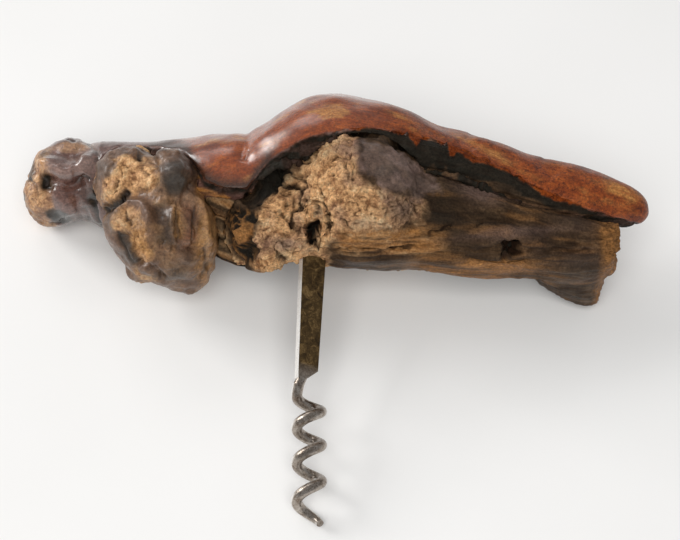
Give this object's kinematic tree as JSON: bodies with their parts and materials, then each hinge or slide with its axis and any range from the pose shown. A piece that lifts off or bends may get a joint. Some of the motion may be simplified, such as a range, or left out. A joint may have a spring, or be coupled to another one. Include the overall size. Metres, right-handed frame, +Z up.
{
  "type": "direct-pull corkscrew with root-wood handle",
  "caption": "Direct-pull corkscrew: gnarled natural root-wood handle, flat tapered steel bar and right-handed wire worm, nothing moves.",
  "frame": {"origin": "on the table under the middle of the outline", "axes": "+X along the handle towards the broken trunk end, +Y from the worm's tip to the handle's crown, +Z up from the table"},
  "size_m": [0.183, 0.1222, 0.0504],
  "materials": {
    "steel": "worn bare steel, light rust and tarnish",
    "nail_steel": "dull rusty steel",
    "wedge_wood": "dull split wood",
    "polished_limb": "hand-polished red-brown wood",
    "knob_bark": "glossy mauve-brown bark",
    "burl_wood": "corky, partly polished burl",
    "dead_bark": "dull near-black bark",
    "heart_wood": "weathered fibrous dead wood"
  },
  "bodies": {
    "root": {"worm_forging": "steel", "tang_nail": "nail_steel", "tang_wedge": "wedge_wood", "live_limb": "polished_limb", "end_knob": "knob_bark", "left_burl": "burl_wood", "burl_boss": "burl_wood", "burl_chin": "burl_wood", "burl_toe": "burl_wood", "centre_burl_lobe": "burl_wood", "centre_burl_crest": "burl_wood", "centre_burl_dome": "burl_wood", "bark_strip": "dead_bark", "heart_trunk": "heart_wood", "trunk_foot": "heart_wood", "recess_rib_upper": "heart_wood", "recess_rib_middle": "heart_wood", "recess_rib_lower": "heart_wood"}
  },
  "joints": []
}
